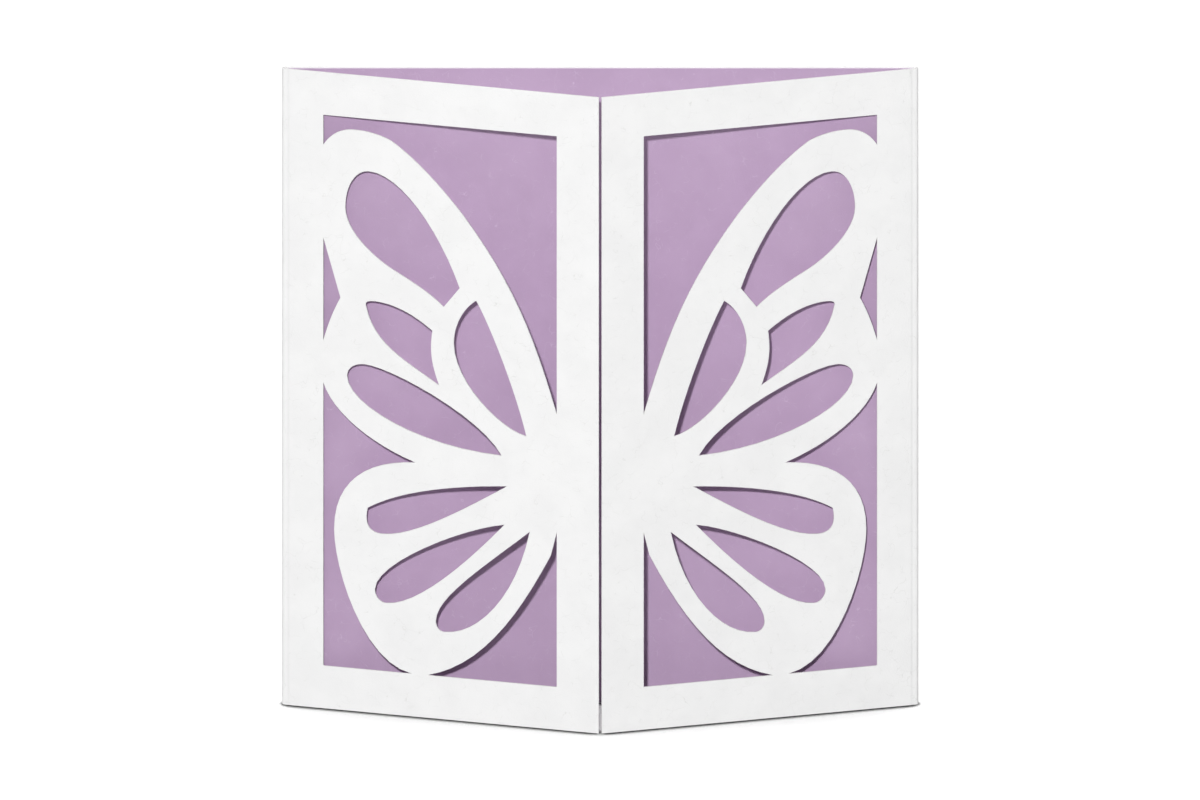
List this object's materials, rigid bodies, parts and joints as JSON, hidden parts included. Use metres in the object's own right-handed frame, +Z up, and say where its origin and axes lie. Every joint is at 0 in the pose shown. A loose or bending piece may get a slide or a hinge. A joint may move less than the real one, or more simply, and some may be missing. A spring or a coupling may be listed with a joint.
{
  "type": "gatefold card",
  "caption": "Upright paper card folded into a back panel and leaning gates that meet at the front, each pierced with half a butterfly over a lilac liner.",
  "frame": {"origin": "middle of the footprint, on the surface that the card stands on", "axes": "+Z up along the folds, -Y out of the front where the gates meet, +X to the right as seen from the front"},
  "size_m": [0.146, 0.0212, 0.155],
  "materials": {
    "white_card": "smooth uncoated white card",
    "lilac_paper": "smooth uncoated lilac paper"
  },
  "bodies": {
    "root": {"folded_card": "white_card", "liner": "lilac_paper"}
  },
  "joints": []
}
